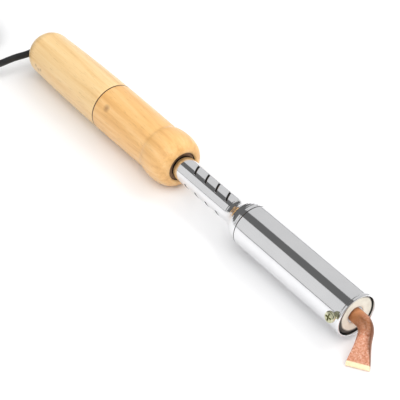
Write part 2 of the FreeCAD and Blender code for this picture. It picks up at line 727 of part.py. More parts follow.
def cord_ends():
    """The cord's jacket inside the handle and its two cores, up to the terminal block."""
    x = dim.rear_x + dim.cord_start
    cylinder("cord_inner", dim.cord_radius, dim.jacket_end - dim.cord_start, x, 0, dim.axis_height,
             AXIS_X)
    for name, sign in (("core_brown", 1), ("core_blue", -1)):
        core = doc.addObject("Part::Feature", name)
        start = Vector((dim.rear_x + dim.jacket_end).value, 1.15 * sign, dim.axis_height.value)
        end = Vector((dim.rear_x + dim.block_station).value, dim.terminal_offset.value * sign, start.z)
        along = end - start
        rod = Part.makeCylinder(dim.core_radius.value, along.Length + 2, start - along / along.Length,
                                along)
        keep = Part.makeBox(along.x, 20, 20, Vector(start.x, -10, start.z - 10))
        core.Shape = rod.common(keep)
    return ["cord_inner", "core_brown", "core_blue"]


def cord_grommet():
    return tube("cord_grommet", dim.rear_end + 1.2, dim.cord_start, dim.cord_radius, dim.cord_hole_radius)


# ---------------------------------------------------------------- cord outside the handle

def cord_route():
    """Points of the free cord, from inside the cord hole to the hank beside the iron."""
    x = dim.rear_x.value + dim.rear_end.value
    z = dim.axis_height.value
    return [Vector(*point) for point in (
        (x + 9.0, 0.0, z),
        (x + 3.4, 0.0, z),
        (x - 2.6, -1.4, z - 2.6),
        (x - 4.9, -8.0, z - 5.7),
        (x - 7.6, -18.5, z - 6.0),
        (x - 8.4, -31.0, z - 7.0),
        (x - 14.0, -42.5, z - 9.5),
        (x - 24.0, -49.5, z - 12.2),
        (x - 36.5, -51.4, z - 14.0),
        (x - 50.5, -48.8, z - 14.5),
        (x - 61.5, -46.2, z - 14.5),
    )]


def tail_route():
    """Points of the cord's far end, from the hank's top turn up to the plug's sleeve."""
    top = hank_top().value
    x = (dim.hank_x + dim.hank_half_length).value
    y = dim.hank_y.value
    return [Vector(*point) for point in (
        (x - 6.5, y + dim.hank_lane.value, top - 2.4),
        (x + 3.7, y + 13.9, top - 2.2),
        (x + 13.2, y + 6.2, top + 0.2),
        (x + 16.6, y - 4.5, top + 3.4),
        (x + 12.5, y - 13.5, top + 6.4),
        (x + 4.5, dim.plug_y.value, plug_axis_z().value),
        (dim.plug_rear_x.value + dim.relief_length.value, dim.plug_y.value, plug_axis_z().value),
    )]


def rounded_path(points):
    """Straight runs joined by tangent arcs that are as large as each pair of runs allows."""
    edges = []
    here = points[0]
    for before, corner, after in zip(points, points[1:], points[2:]):
        back = before - corner
        ahead = after - corner
        cut = 0.45 * min(back.Length, ahead.Length)
        half_turn = (math.pi - back.getAngle(ahead)) / 2
        radius = cut / math.tan(half_turn)
        back.normalize()
        ahead.normalize()
        start = corner + back * cut
        end = corner + ahead * cut
        inward = (back + ahead).normalize()
        middle = corner + inward * (radius / math.cos(half_turn) - radius)
        edges.append(Part.LineSegment(here, start).toShape())
        edges.append(Part.Arc(start, middle, end).toShape())
        print("cord bend radius %.1f mm" % radius)
        here = end
    edges.append(Part.LineSegment(here, points[-1]).toShape())
    return Part.Wire(edges)


def cord_tube(name, points):
    """A round tube along a route, with its volume checked against its length."""
    path = rounded_path(points)
    radius = dim.cord_radius.value
    ring = Part.Wire([Part.Circle(points[0], points[1] - points[0], radius).toShape()])
    solid = path.makePipeShell([ring], True, True)
    wanted = math.pi * radius ** 2 * path.Length
    if abs(solid.Volume - wanted) > 0.01 * wanted:
        raise RuntimeError(name + " has the wrong volume")
    cord = doc.addObject("Part::Feature", name)
    cord.Shape = solid
    print("%s %.1f mm long" % (name, path.Length))
    return cord


def free_cord():
    """The two stretches of cord that are not folded away."""
    cord_tube("power_cord", cord_route())
    cord_tube("plug_cord", tail_route())
    return ["power_cord", "plug_cord"]


def racetrack(half_length, radius):
    """A face of two straights joined by half circles, about the hank's middle, at z = 0."""
    x = dim.hank_x.value
    y = dim.hank_y.value
    corners = [Vector(x + sx * half_length, y + sy * radius, 0)
               for sx, sy in ((-1, -1), (1, -1), (1, 1), (-1, 1))]
    right = Vector(x + half_length + radius, y, 0)
    left = Vector(x - half_length - radius, y, 0)
    return Part.Face(Part.Wire([
        Part.LineSegment(corners[0], corners[1]).toShape(),
        Part.Arc(corners[1], right, corners[2]).toShape(),
        Part.LineSegment(corners[2], corners[3]).toShape(),
        Part.Arc(corners[3], left, corners[0]).toShape(),
    ]))


def cord_hank():
    """The folded cord as one solid, two turns side by side and three high, round its own two ends."""
    lane = dim.hank_lane.value
    cord = dim.cord_radius.value
    half_length = dim.hank_half_length.value
    rim = racetrack(half_length, lane + 3 * cord)
    hole = racetrack(half_length, lane - cord)
    lift = Vector(0, 0, dim.tie_thickness.value)
    hank = doc.addObject("Part::Feature", "cord_hank")
    solid = rim.cut(hole).extrude(Vector(0, 0, dim.hank_height.value)).translated(lift)
    hank.Shape = solid.cut([doc.getObject("power_cord").Shape, doc.getObject("plug_cord").Shape])
    return hank


def hank_tie():
    """A strap round the middle of the hank."""
    wide = (dim.hank_lane + dim.cord_radius * 3) * 2
    tie = dim.tie_thickness
    x = dim.tie_x - dim.tie_width * 0.5
    y = dim.hank_y - wide * 0.5
    outer = block("tie_outer", x, y - tie, 0, dim.tie_width, wide + tie * 2, dim.hank_height + tie * 2)
    inner = block("tie_inner", x - 1, y, tie, dim.tie_width + 2, wide, dim.hank_height)
    return cut_from("hank_tie", outer, [inner])


def hank_top():
    return dim.tie_thickness + dim.hank_height


def plug_axis_z():
    return hank_top() + dim.plug_height * 0.5


def plug_body():
    body = doc.addObject("PartDesign::Body", "plug_body")
    sketch = new_sketch(body, "plug_section", "YZ_Plane")
    half_w = dim.plug_width * 0.5
    half_h = dim.plug_height * 0.5
    corner = dim.plug_corner
    draw_outline(sketch, [
        (half_w, corner - half_h, ), (half_w, half_h - corner, corner),
        (half_w - corner, half_h), (corner - half_w, half_h, corner),
        (half_w * -1, half_h - corner), (half_w * -1, corner - half_h, corner),
        (corner - half_w, half_h * -1), (half_w - corner, half_h * -1, corner),
    ])
    pad = body.newObject("PartDesign::Pad", "plug_pad")
    pad.Profile = sketch
    pad.Reversed = True
    bind(pad, "Length", dim.plug_length)
    bind(body, "Placement.Base.x", dim.plug_rear_x)
    bind(body, "Placement.Base.y", dim.plug_y)
    bind(body, "Placement.Base.z", plug_axis_z())
    return body


def plug_pins():
    """Two flat contact blades, each with its hole near the end."""
    front = dim.plug_rear_x - dim.plug_length - dim.blade_pin_length
    pins = []
    for side, sign in (("left", 1), ("right", -1)):
        y = dim.plug_y + dim.blade_pin_spacing * (0.5 * sign)
        pin = block("blade_" + side, front, y - dim.blade_pin_thickness * 0.5,
                    plug_axis_z() - dim.blade_pin_height * 0.5, dim.blade_pin_length,
                    dim.blade_pin_thickness, dim.blade_pin_height)
        hole = cylinder("blade_hole_" + side, 1.6, 6, front + 4.2, y - 3, plug_axis_z(),
                        Vector(0, 1, 0))
        pins.append(cut_from("blade_pin_" + side, pin, [hole]))
    return group("plug_pins", pins)


def plug_relief():
    """Tapered moulded sleeve where the cord enters the plug."""
    cone = doc.addObject("Part::Cone", "relief_cone")
    bind(cone, "Radius1", dim.relief_radius)
    bind(cone, "Radius2", dim.cord_radius + 0.8)
    bind(cone, "Height", dim.relief_length)
    cone.Placement = Placement(Vector(), Rotation(AXIS_Z, AXIS_X))
    bind(cone, "Placement.Base.x", dim.plug_rear_x)
    bind(cone, "Placement.Base.y", dim.plug_y)
    bind(cone, "Placement.Base.z", plug_axis_z())
    cone.Label = "plug_relief"
    return cone


# ---------------------------------------------------------------- build, check and write

def build():
    """Makes every sub-part and returns their labels."""
    makers = (handle_rear_cap, handle_front, cap_pins, insulating_bush, shank_tube, retaining_washer,
              barrel, bit_sleeve, heating_winding, heater_wraps, end_bush, end_disc, heater_leads,
              clamp_screw, clamp_nut, copper_tip, terminal_block, terminal_screws,
              cord_clamp, cord_ends, cord_grommet, free_cord, cord_hank, hank_tie, plug_body,
              plug_pins, plug_relief)
    labels = []
    for maker in makers:
        made = maker()
        labels += made if isinstance(made, list) else [made.Label]
    return labels


def check(labels):
    for thing in doc.Objects:
        if "Invalid" in thing.State or "Error" in thing.State:
            raise RuntimeError("%s failed: %s" % (thing.Label, thing.State))
    for label in labels:
        shape = doc.getObjectsByLabel(label)[0].Shape
        if shape.isNull() or not shape.isValid() or not shape.Solids:
            raise RuntimeError(label + " has no valid shape")


def write(labels):
    os.makedirs(OUT, exist_ok=True)
    for label in labels:
        doc.getObjectsByLabel(label)[0].Shape.exportStep(os.path.join(OUT, label + ".step"))


subparts = build()
doc.recompute()
check(subparts)
write(subparts)
print("%d sub-parts" % len(subparts))
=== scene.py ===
"""A mains soldering iron lying on a pale table: turned wooden handle, chromed heater barrel, bent copper bit.

Lengths in this script are millimetres until a mesh or curve is made, which is in metres. X is the distance
from the middle of the iron's outline. A station is measured along the iron and is 2 at the rear end of the
handle.
"""

import bpy
import math
from mathutils import Matrix, Vector


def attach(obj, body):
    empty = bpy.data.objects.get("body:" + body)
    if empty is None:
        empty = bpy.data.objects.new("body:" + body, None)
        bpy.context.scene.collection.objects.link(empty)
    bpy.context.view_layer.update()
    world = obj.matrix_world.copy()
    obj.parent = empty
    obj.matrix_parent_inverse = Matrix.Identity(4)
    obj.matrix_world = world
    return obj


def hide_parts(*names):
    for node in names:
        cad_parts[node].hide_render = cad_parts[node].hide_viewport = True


MM = 0.001
REAR = -178.9
REAR_END = 2.0
AXIS = 17.9
SCREW_STATION = 326.3
SCREW_ROLL = math.radians(69)
BEND_STATION = 339.5
BEND_ANGLE = math.radians(66.3)
BEND_ROLL = math.radians(42.0)
BLADE_THICKNESS = 3.2
BEVEL_LENGTH = 2.7
BEVEL_DROP = 2.2
HANK = Vector((-259.5, -27.0, 0.0))
HANK_HALF = 27.5
LANES = (14.4, 19.2)
CORD_RADIUS = 2.4
HANK_TOP = 15.4
PLUG = Vector((-254.5, -43.8, HANK_TOP + 7.75))
TIE_X = -242.5

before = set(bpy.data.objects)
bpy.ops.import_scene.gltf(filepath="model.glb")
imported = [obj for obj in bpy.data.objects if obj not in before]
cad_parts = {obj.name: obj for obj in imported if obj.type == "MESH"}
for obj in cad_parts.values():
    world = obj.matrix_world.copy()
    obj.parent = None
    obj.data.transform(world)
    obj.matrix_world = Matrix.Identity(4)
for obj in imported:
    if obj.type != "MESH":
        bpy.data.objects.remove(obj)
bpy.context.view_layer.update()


# ---------------------------------------------------------------- materials

class Nodes:
    """A material's node tree with short ways to add the nodes used here."""

    def __init__(self, name):
        self.material = bpy.data.materials.new(name)
        self.material.use_nodes = True
        self.tree = self.material.node_tree
        self.shader = self.tree.nodes["Principled BSDF"]
        self.coords = self.tree.nodes.new("ShaderNodeTexCoord").outputs["Object"]

    def link(self, output, target):
        self.tree.links.new(output, target)

    def add(self, kind, inputs=None, **settings):
        node = self.tree.nodes.new("ShaderNode" + kind)
        for key, value in settings.items():
            setattr(node, key, value)
        for key, value in (inputs or {}).items():
            socket = node.inputs[key]
            if isinstance(value, bpy.types.NodeSocket):
                self.link(value, socket)
            else:
                socket.default_value = value
        return node

    def mapped(self, scale=(1, 1, 1), turn=(0, 0, 0), shift=(0, 0, 0), source=None):
        node = self.add("Mapping", {"Vector": source or self.coords, "Scale": scale, "Rotation": turn,
                                    "Location": shift})
        return node.outputs["Vector"]

    def noise(self, vector, scale, detail=4.0, rough=0.5, distortion=0.0):
        return self.add("TexNoise", {"Vector": vector, "Scale": scale, "Detail": detail,
                                     "Roughness": rough, "Distortion": distortion}).outputs["Fac"]

    def cells(self, vector, scale, feature="F1", output="Distance"):
        return self.add("TexVoronoi", {"Vector": vector, "Scale": scale}, feature=feature).outputs[output]

    def ramp(self, factor, stops, interpolation="LINEAR"):
        node = self.add("ValToRGB", {"Fac": factor})
        node.color_ramp.interpolation = interpolation
        while len(node.color_ramp.elements) < len(stops):
            node.color_ramp.elements.new(0.5)
        for element, (place, colour) in zip(node.color_ramp.elements, stops):
            element.position = place
            element.color = (*colour, 1.0) if isinstance(colour, tuple) else (colour,) * 3 + (1.0,)
        return node.outputs["Color"]

    def mix(self, factor, first, second, blend="MIX"):
        node = self.add("Mix", data_type="RGBA", blend_type=blend)
        for socket, value in zip((node.inputs["Factor"], node.inputs[6], node.inputs[7]),
                                 (factor, first, second)):
            if isinstance(value, bpy.types.NodeSocket):
                self.link(value, socket)
            elif isinstance(value, tuple):
                socket.default_value = (*value, 1.0)
            else:
                socket.default_value = value
        return node.outputs[2]

    def maths(self, operation, first, second=0.0):
        node = self.add("Math", operation=operation)
        for socket, value in zip(node.inputs, (first, second)):
            if isinstance(value, bpy.types.NodeSocket):
                self.link(value, socket)
            else:
                socket.default_value = value
        return node.outputs[0]

    def axis(self, name, vector=None):
        return self.add("SeparateXYZ", {"Vector": vector or self.coords}).outputs[name]

    def bump(self, height, distance, strength=1.0, over=None):
        node = self.add("Bump", {"Height": height, "Distance": distance, "Strength": strength})
        if over is not None:
            self.link(over, node.inputs["Normal"])
        return node.outputs["Normal"]

    def finish(self, colour=None, roughness=None, normal=None, **values):
        for key, value in (("Base Color", colour), ("Roughness", roughness), ("Normal", normal)):
            if isinstance(value, bpy.types.NodeSocket):
                self.link(value, self.shader.inputs[key])
            elif value is not None:
                self.shader.inputs[key].default_value = value
        for key, value in values.items():
            self.shader.inputs[key.replace("_", " ")].default_value = value
        return self.material


def wood(name, light, mid, dark, pore, shift, marks):
    """Varnished beech-like wood with its grain along X, fine short pores and a few small marks."""
    n = Nodes(name)
    board = n.mapped((1.0, 1.0, 1.0), (0.35, 0.03, 0.05), shift)
    wander = n.noise(n.mapped((0.25, 1, 1), source=board), 30, 2.0)
    bands = n.add("TexWave", {"Vector": n.mapped((2.2, 58, 42), source=board), "Scale": 1.0,
                              "Distortion": 5.0, "Detail": 3.0, "Detail Scale": 0.9,
                              "Detail Roughness": 0.6}, bands_direction="DIAGONAL").outputs["Fac"]
    fibres = n.noise(n.mapped((10, 420, 420), source=board), 1.0, 6.0, 0.62)
    tone = n.maths("ADD", n.maths("MULTIPLY", bands, 0.16), n.maths("MULTIPLY", fibres, 0.84))
    colour = n.ramp(tone, [(0.25, dark), (0.5, mid), (0.75, light)])
    colour = n.mix(n.ramp(wander, [(0.35, 0.0), (0.7, 0.32)]), colour, mid)
    dashes = n.noise(n.mapped((140, 1500, 1500), source=board), 1.0, 2.0, 0.5)
    spots = n.ramp(dashes, [(0.60, 0.0), (0.72, 0.22)])
    colour = n.mix(spots, colour, pore)
    freckle = n.noise(n.mapped((60, 700, 700), (0, 0, 0), (3, 1, 2), board), 1.0, 2.0)
    colour = n.mix(n.ramp(freckle, [(0.66, 0.0), (0.78, 0.35)]), colour, dark)
    for station, angle, size in marks:
        place = Vector((REAR + station, 15.9 * math.cos(angle), AXIS + 15.9 * math.sin(angle))) * MM
        away = n.add("VectorMath", {0: n.coords, 1: tuple(place)}, operation="DISTANCE").outputs["Value"]
        near = n.maths("MULTIPLY", away, 1 / (size * MM * 2))
        near = n.maths("ADD", near, n.maths("MULTIPLY", dashes, 0.4))
        colour = n.mix(n.ramp(near, [(0.40, 0.55), (0.95, 0.0)]), colour, pore)
    rough = n.ramp(n.noise(board, 90, 3.0), [(0.3, 0.30), (0.7, 0.42)])
    relief = n.bump(n.maths("SUBTRACT", fibres, dashes), 0.00006, 0.5)
    return n.finish(colour, rough, relief, Coat_Weight=0.25, Coat_Roughness=0.18, Specular_IOR_Level=0.45)


def chrome():
    """Bright plate with faint lengthwise polishing lines and small stains."""
    n = Nodes("chrome_plate")
    lines = n.noise(n.mapped((14, 900, 900)), 1.0, 5.0, 0.6)
    cloud = n.noise(n.coords, 55, 4.0)
    colour = n.mix(n.ramp(cloud, [(0.35, 0.0), (0.8, 0.6)]), (0.79, 0.79, 0.80), (0.71, 0.715, 0.73))
    rough = n.ramp(n.maths("ADD", n.maths("MULTIPLY", lines, 0.6), n.maths("MULTIPLY", cloud, 0.4)),
                   [(0.35, 0.055), (0.7, 0.12)])
    wave = n.noise(n.mapped((6, 60, 60)), 1.0, 2.0)
    normal = n.bump(lines, 0.000004, 0.4, n.bump(wave, 0.00006, 0.5))
    return n.finish(colour, rough, normal, Metallic=1.0)


def metal(name, light, dark, rough=(0.25, 0.45), scale=400, bump=0.00002, stretch=(1, 1, 1)):
    n = Nodes(name)
    cloud = n.noise(n.mapped(stretch), scale, 5.0, 0.6)
    patch = n.noise(n.coords, scale * 0.2, 3.0)
    colour = n.mix(n.ramp(cloud, [(0.3, 0.0), (0.75, 1.0)]), light, dark)
    colour = n.mix(n.ramp(patch, [(0.45, 0.0), (0.75, 0.5)]), colour, dark)
    return n.finish(colour, n.ramp(cloud, [(0.3, rough[0]), (0.7, rough[1])]), n.bump(cloud, bump, 0.6),
                    Metallic=1.0)


def matt(name, light, dark, rough=(0.45, 0.7), scale=500, bump=0.00003, stretch=(1, 1, 1), **values):
    n = Nodes(name)
    cloud = n.noise(n.mapped(stretch), scale, 5.0, 0.6)
    patch = n.noise(n.coords, scale * 0.15, 3.0)
    colour = n.mix(n.ramp(cloud, [(0.3, 0.0), (0.75, 1.0)]), light, dark)
    colour = n.mix(n.ramp(patch, [(0.4, 0.0), (0.8, 0.6)]), colour, dark)
    return n.finish(colour, n.ramp(patch, [(0.3, rough[0]), (0.7, rough[1])]), n.bump(cloud, bump, 0.6),
                    **values)


def copper():
    """Hammered copper: bright rod, heat-browned bend, pink flattened leg and a pale tinned bevel, with
    painted shade on the faces that turn to one side of the blade.
    """
    side = Vector((0, -math.sin(BEND_ROLL), -math.cos(BEND_ROLL)))
    leg = Vector((1, 0, 0)) * math.cos(BEND_ANGLE) + side * math.sin(BEND_ANGLE)
    across = Vector((-leg.y, leg.x, 0)).normalized()
    front = leg.cross(across)
    front *= math.copysign(1, front.z)
    corner = Vector((REAR + BEND_STATION, 0, AXIS))
    length = (AXIS - BLADE_THICKNESS / 2 * front.z) / -leg.z
    bevel_top = corner + leg * (length - BEVEL_LENGTH) + front * (BLADE_THICKNESS / 2)
    bevel_facing = (front * BEVEL_LENGTH + leg * BEVEL_DROP).normalized()

    n = Nodes("forged_copper")

    def distance(point, direction):
        dot = n.add("VectorMath", {0: n.coords, 1: tuple(direction)}, operation="DOT_PRODUCT")
        beyond = n.maths("SUBTRACT", dot.outputs["Value"], point.dot(direction) * MM)
        return n.maths("MULTIPLY", beyond, 1 / MM)

    facing = n.tree.nodes.new("ShaderNodeTexCoord").outputs["Normal"]
    painted_side_shade_facing = n.add("VectorMath", {0: facing, 1: tuple(across)}, operation="DOT_PRODUCT").outputs["Value"]
    level = distance(corner, leg)
    mottled = n.noise(n.coords, 900, 4.0, 0.6)
    cloud = n.noise(n.coords, 160, 3.0)
    colour = n.ramp(mottled, [(0.3, (0.62, 0.22, 0.12)), (0.5, (0.88, 0.40, 0.25)),
                              (0.68, (1.0, 0.66, 0.50))])
    rod = n.ramp(n.maths("MULTIPLY", distance(corner, Vector((1, 0, 0))), -0.1), [(0.30, 0.0), (0.75, 0.9)])
    colour = n.mix(rod, colour, (0.95, 0.45, 0.22))
    wander = n.maths("ADD", level, n.maths("MULTIPLY", cloud, 6.0))
    heat = n.ramp(n.maths("MULTIPLY", n.maths("ADD", wander, 6.0), 0.04),
                  [(0.0, 0.1), (0.25, 0.75), (0.45, 0.55), (0.62, 0.0)])
    colour = n.mix(heat, colour, (0.34, 0.13, 0.045))
    # Painted shade: faces that turn towards the across direction are darkened, standing in for the shadowed
    # side of the blade and rod.
    colour = n.mix(n.ramp(painted_side_shade_facing, [(0.45, 0.0), (0.75, 0.85)]), colour, (0.17, 0.065, 0.03))
    bevel = n.ramp(n.maths("ADD", distance(bevel_top, bevel_facing), 0.3), [(0.15, 0.0), (0.24, 1.0)])
    tinned = n.mix(n.ramp(mottled, [(0.35, 0.0), (0.7, 0.7)]), (0.98, 0.88, 0.60), (0.93, 0.74, 0.44))
    colour = n.mix(bevel, colour, tinned)
    dents = n.cells(n.coords, 620)
    normal = n.bump(n.maths("ADD", dents, n.maths("MULTIPLY", mottled, 0.6)), 0.00022, 0.55)
    return n.finish(colour, n.ramp(mottled, [(0.3, 0.28), (0.7, 0.48)]), normal, Metallic=0.72)


def ceramic():
    """Unglazed cream ceramic with painted shade: greyer towards the bottom, and a near-black ring round its
    edge for the shadowed gap to the rim.
    """
    n = Nodes("cream_ceramic")
    grain = n.noise(n.coords, 1500, 4.0)
    cloud = n.noise(n.mapped(shift=(0.4, 0.2, 0.1)), 190, 3.0)
    # Painted shade: the disc is greyed towards the bottom.
    low = n.ramp(n.maths("ADD", n.maths("MULTIPLY", n.axis("Z"), -38.0), n.maths("MULTIPLY", cloud, 0.7)),
                 [(0.0, 0.0), (0.35, 1.0)])
    colour = n.mix(n.ramp(cloud, [(0.4, 0.0), (0.75, 1.0)]), (0.87, 0.82, 0.71), (0.77, 0.71, 0.60))
    colour = n.mix(n.maths("MULTIPLY", low, 0.45), colour, (0.42, 0.37, 0.33))
    # Painted shade: a near-black ring round the disc's edge, a little off centre, stands in for the shadowed
    # gap between the ceramic and the barrel's rim.
    middle = Vector((REAR + 329.3, 0.8, AXIS + 0.5)) * MM
    away = n.add("VectorMath", {0: n.coords, 1: tuple(middle)}, operation="DISTANCE").outputs["Value"]
    edge = n.maths("ADD", n.maths("MULTIPLY", away, 50.0), n.maths("MULTIPLY", cloud, 0.03))
    colour = n.mix(n.ramp(edge, [(0.555, 0.0), (0.60, 0.96)]), colour, (0.03, 0.028, 0.025))
    return n.finish(colour, n.ramp(grain, [(0.3, 0.55), (0.7, 0.72)]), n.bump(grain, 0.00004, 0.5))


MATERIALS = {
    "wood_rear": wood("wood_rear", (0.89, 0.66, 0.36), (0.83, 0.57, 0.275), (0.72, 0.44, 0.175),
                      (0.20, 0.09, 0.03), (0.0, 0.0, 0.0),
                      ((19, 3.12, 1.2), (22, 3.22, 1.3), (25, 3.14, 1.1))),
    "wood_front": wood("wood_front", (0.87, 0.56, 0.26), (0.80, 0.465, 0.175), (0.66, 0.34, 0.11),
                       (0.20, 0.08, 0.03), (0.31, 0.17, 0.05), ((100, 2.38, 2.2),)),
    "glue": matt("seam_glue", (0.10, 0.042, 0.016), (0.045, 0.018, 0.008)),
    "bush_brown": matt("bush_fibre", (0.34, 0.19, 0.10), (0.22, 0.12, 0.06), (0.5, 0.75), 420, 0.00005),
    "chrome": chrome(),
    "steel": metal("plain_steel", (0.62, 0.61, 0.60), (0.40, 0.39, 0.38)),
    "zinc": metal("yellow_zinc", (0.70, 0.70, 0.52), (0.36, 0.35, 0.20), (0.14, 0.28), 600),
    "brass": metal("plug_brass", (0.80, 0.62, 0.32), (0.62, 0.44, 0.19), (0.2, 0.38), 300),
    "ceramic": ceramic(),
    "mica": matt("mica_wrap", (0.60, 0.54, 0.42), (0.42, 0.36, 0.27), (0.35, 0.6), 260),
    "fibre": matt("brown_fibre", (0.23, 0.11, 0.06), (0.09, 0.045, 0.028), (0.5, 0.75), 420, 0.00005),
    "cord_black": matt("cord_pvc", (0.020, 0.020, 0.021), (0.009, 0.009, 0.010), (0.34, 0.48), 260, 0.00002),
    "core_brown": matt("core_brown", (0.26, 0.12, 0.06), (0.18, 0.08, 0.04)),
    "core_blue": matt("core_blue", (0.08, 0.18, 0.5), (0.05, 0.12, 0.38)),
    "plug_black": matt("plug_pvc", (0.024, 0.024, 0.025), (0.011, 0.011, 0.012), (0.42, 0.58), 900, 0.00006),
    "tie": matt("tie_strap", (0.030, 0.030, 0.032), (0.014, 0.014, 0.015), (0.6, 0.8), 1800, 0.0001),
    # Near-black for the cord grommet, and painted shade for the recess ring, the shank's slot walls and
    # lining and the ring in front of the packing.
    "black_and_painted_shade": matt("dark_parts_and_painted_shade", (0.022, 0.020, 0.018), (0.010, 0.009, 0.008), (0.7, 0.9), 300),
}


# ---------------------------------------------------------------- mesh helpers

def make_mesh(name, points, faces, material, smooth=True, sharp=35):
    """A mesh object from points in millimetres."""
    mesh = bpy.data.meshes.new(name)
    mesh.from_pydata([Vector(point) * MM for point in points], [], faces)
    mesh.update()
    made = bpy.data.objects.new(name, mesh)
    bpy.context.scene.collection.objects.link(made)
    mesh.materials.append(material)
    if smooth:
        mesh.shade_smooth()
        mesh.set_sharp_from_angle(angle=math.radians(sharp))
    return made


def give(piece, body, replaced=()):
    """Fastens a piece to its CAD body and hides the CAD nodes it stands for."""
    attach(piece, body)
    if replaced:
        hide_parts(*replaced)
    return piece


def arc(start, end, radius, steps):
    """Points of the short arc from start to end, both left out; a positive radius bows to the left."""
    start, end = Vector(start), Vector(end)
    chord = end - start
    left = Vector((-chord.y, chord.x)).normalized()
    centre = (start + end) / 2 - left * math.copysign(math.sqrt(radius ** 2 - chord.length ** 2 / 4), radius)
    first, last = start - centre, end - centre
    sweep = last.angle_signed(first)
    return [centre + Matrix.Rotation(sweep * k / steps, 2) @ first for k in range(1, steps)]


def outline(points, steps=10):
    """Expands (x, y, radius) points into the closed outline of a turned piece."""
    made = []
    for index, point in enumerate(points):
        made.append(Vector(point[:2]))
        if len(point) > 2:
            made += arc(point[:2], points[(index + 1) % len(points)][:2], point[2], steps)
    return made


def on_iron(station, radius, angle):
    """A point round the iron's axis, in the row frame; angle 0 is +Y and 90 degrees is +Z."""
    return Vector((REAR + station, radius * math.cos(angle), AXIS + radius * math.sin(angle)))


def lathe(name, profile, material, closed=True, segments=128, place=on_iron, smooth=True, sharp=35):
    """A turned piece: the profile of (station, radius) carried round the axis."""
    points = []
    faces = []
    count = len(profile)
    for k in range(segments):
        angle = 2 * math.pi * k / segments
        points += [place(p[0], p[1], angle) for p in profile]
    for k in range(segments):
        this, after = k * count, (k + 1) % segments * count
        for j in range(count if closed else count - 1):
            nxt = (j + 1) % count
            faces.append((this + j, after + j, after + nxt, this + nxt))
    return make_mesh(name, points, faces, material, smooth, sharp)


def split_long(profile, longest=6.0):
    """Adds points on long straight runs, so that shading and shape stay even."""
    made = []
    for start, end in zip(profile, profile[1:] + profile[:1]):
        parts = max(1, int((end - start).length / longest))
        made += [start.lerp(end, k / parts) for k in range(parts)]
    return made


# ---------------------------------------------------------------- camera

camera_data = bpy.data.cameras.new("camera")
camera_data.lens = 135.0
camera_data.sensor_width = 36.0
camera = bpy.data.objects.new("camera", camera_data)
camera.location = Vector((571.88, -428.09, 619.89)) * MM
camera.rotation_euler = (math.radians(49.02), 0.0, math.radians(52.93))
bpy.context.scene.collection.objects.link(camera)
bpy.context.scene.camera = camera


# ---------------------------------------------------------------- cord, hank and plug

def hank_place(turn):
    """Where the cord is after a number of turns round the hank, counted from where it joins the hank."""
    inner, outer = LANES
    floors = (3.4, 8.2, 13.0)
    states = ((outer, floors[0]), (inner, floors[0]), (inner, floors[1]), (outer, floors[1]),
              (outer, floors[2]), (inner, floors[2]))
    lap = int(turn)
    phase = turn - lap
    lane, level = states[lap]
    start = 0.86 - 0.10 * lap
    if lap < 5:
        share = min(1.0, max(0.0, (phase - start) / 0.10))
        lane += (states[lap + 1][0] - lane) * share
        level += (states[lap + 1][1] - level) * share
    straight = 2 * HANK_HALF
    bend = math.pi * sum(LANES) / 2
    distance = phase * 2 * (straight + bend)
    if distance < straight:
        return Vector((HANK.x + HANK_HALF - distance, HANK.y - lane, level))
    distance -= straight
    if distance < bend:
        angle = -math.pi / 2 - math.pi * distance / bend
        return Vector((HANK.x - HANK_HALF + lane * math.cos(angle), HANK.y + lane * math.sin(angle), level))
    distance -= bend
    if distance < straight:
        return Vector((HANK.x - HANK_HALF + distance, HANK.y + lane, level))
    angle = math.pi / 2 - math.pi * (distance - straight) / bend
    return Vector((HANK.x + HANK_HALF + lane * math.cos(angle), HANK.y + lane * math.sin(angle), level))


def cord_route():
    """The cord from inside its hole, round the hank and up to the plug."""
    free = [(9.0, 0.0, 0.0), (3.4, 0.0, 0.0), (-2.6, -1.4, -2.6), (-4.9, -8.0, -5.7), (-7.6, -18.5, -6.0),
            (-8.4, -31.0, -7.0), (-14.0, -42.5, -9.5), (-24.0, -49.5, -12.2), (-36.5, -51.4, -14.0),
            (-50.5, -48.8, -14.5)]
    points = [Vector((REAR + REAR_END + x, y, AXIS + z)) for x, y, z in free]
    steps = 26
    points += [hank_place(k / steps) for k in range(1, int(5.71 * steps))]
    corner = Vector((HANK.x + HANK_HALF, HANK.y, HANK_TOP))
    points += [corner + Vector(p) for p in ((-6.5, 14.4, -2.4), (3.7, 13.9, -2.2), (13.2, 6.2, 0.2),
                                            (16.6, -4.5, 3.4), (12.5, -13.5, 6.4), (4.5, -16.8, 7.75))]
    points += [PLUG + Vector((20.0, 0, 0)), PLUG + Vector((12.0, 0, 0))]
    return points


def nurbs(name, points, radius, material):
    data = bpy.data.curves.new(name, "CURVE")
    data.dimensions = "3D"
    data.bevel_depth = radius * MM
    data.bevel_resolution = 6
    data.resolution_u = 8
    data.use_fill_caps = True
    spline = data.splines.new("NURBS")
    spline.points.add(len(points) - 1)
    for point, place in zip(spline.points, points):
        point.co = (*(place * MM), 1.0)
    spline.order_u = 3
    spline.use_endpoint_u = True
    data.materials.append(material)
    made = bpy.data.objects.new(name, data)
    bpy.context.scene.collection.objects.link(made)
    return made


route = cord_route()
cord = give(nurbs("power_cord_run", route, CORD_RADIUS, MATERIALS["cord_black"]), "iron",
            ("power_cord", "plug_cord", "cord_hank"))


def superellipse(half_w, half_h, power, count=48):
    """Points of a rounded rectangle round the origin."""
    made = []
    for k in range(count):
        angle = 2 * math.pi * k / count
        c, d = math.cos(angle), math.sin(angle)
        made.append(Vector((math.copysign(abs(c) ** (2 / power), c) * half_w,
                            math.copysign(abs(d) ** (2 / power), d) * half_h)))
    return made


def skin(name, rings, material, sharp=35):
    """Joins equal rings of points into a closed piece with flat ends."""
    count = len(rings[0])
    points = [point for ring in rings for point in ring]
    faces = [tuple(range(count))[::-1], tuple(range(len(points) - count, len(points)))]
    for k in range(len(rings) - 1):
        for j in range(count):
            nxt = (j + 1) % count
            faces.append((k * count + j, k * count + nxt, (k + 1) * count + nxt, (k + 1) * count + j))
    return make_mesh(name, points, faces, material, True, sharp)


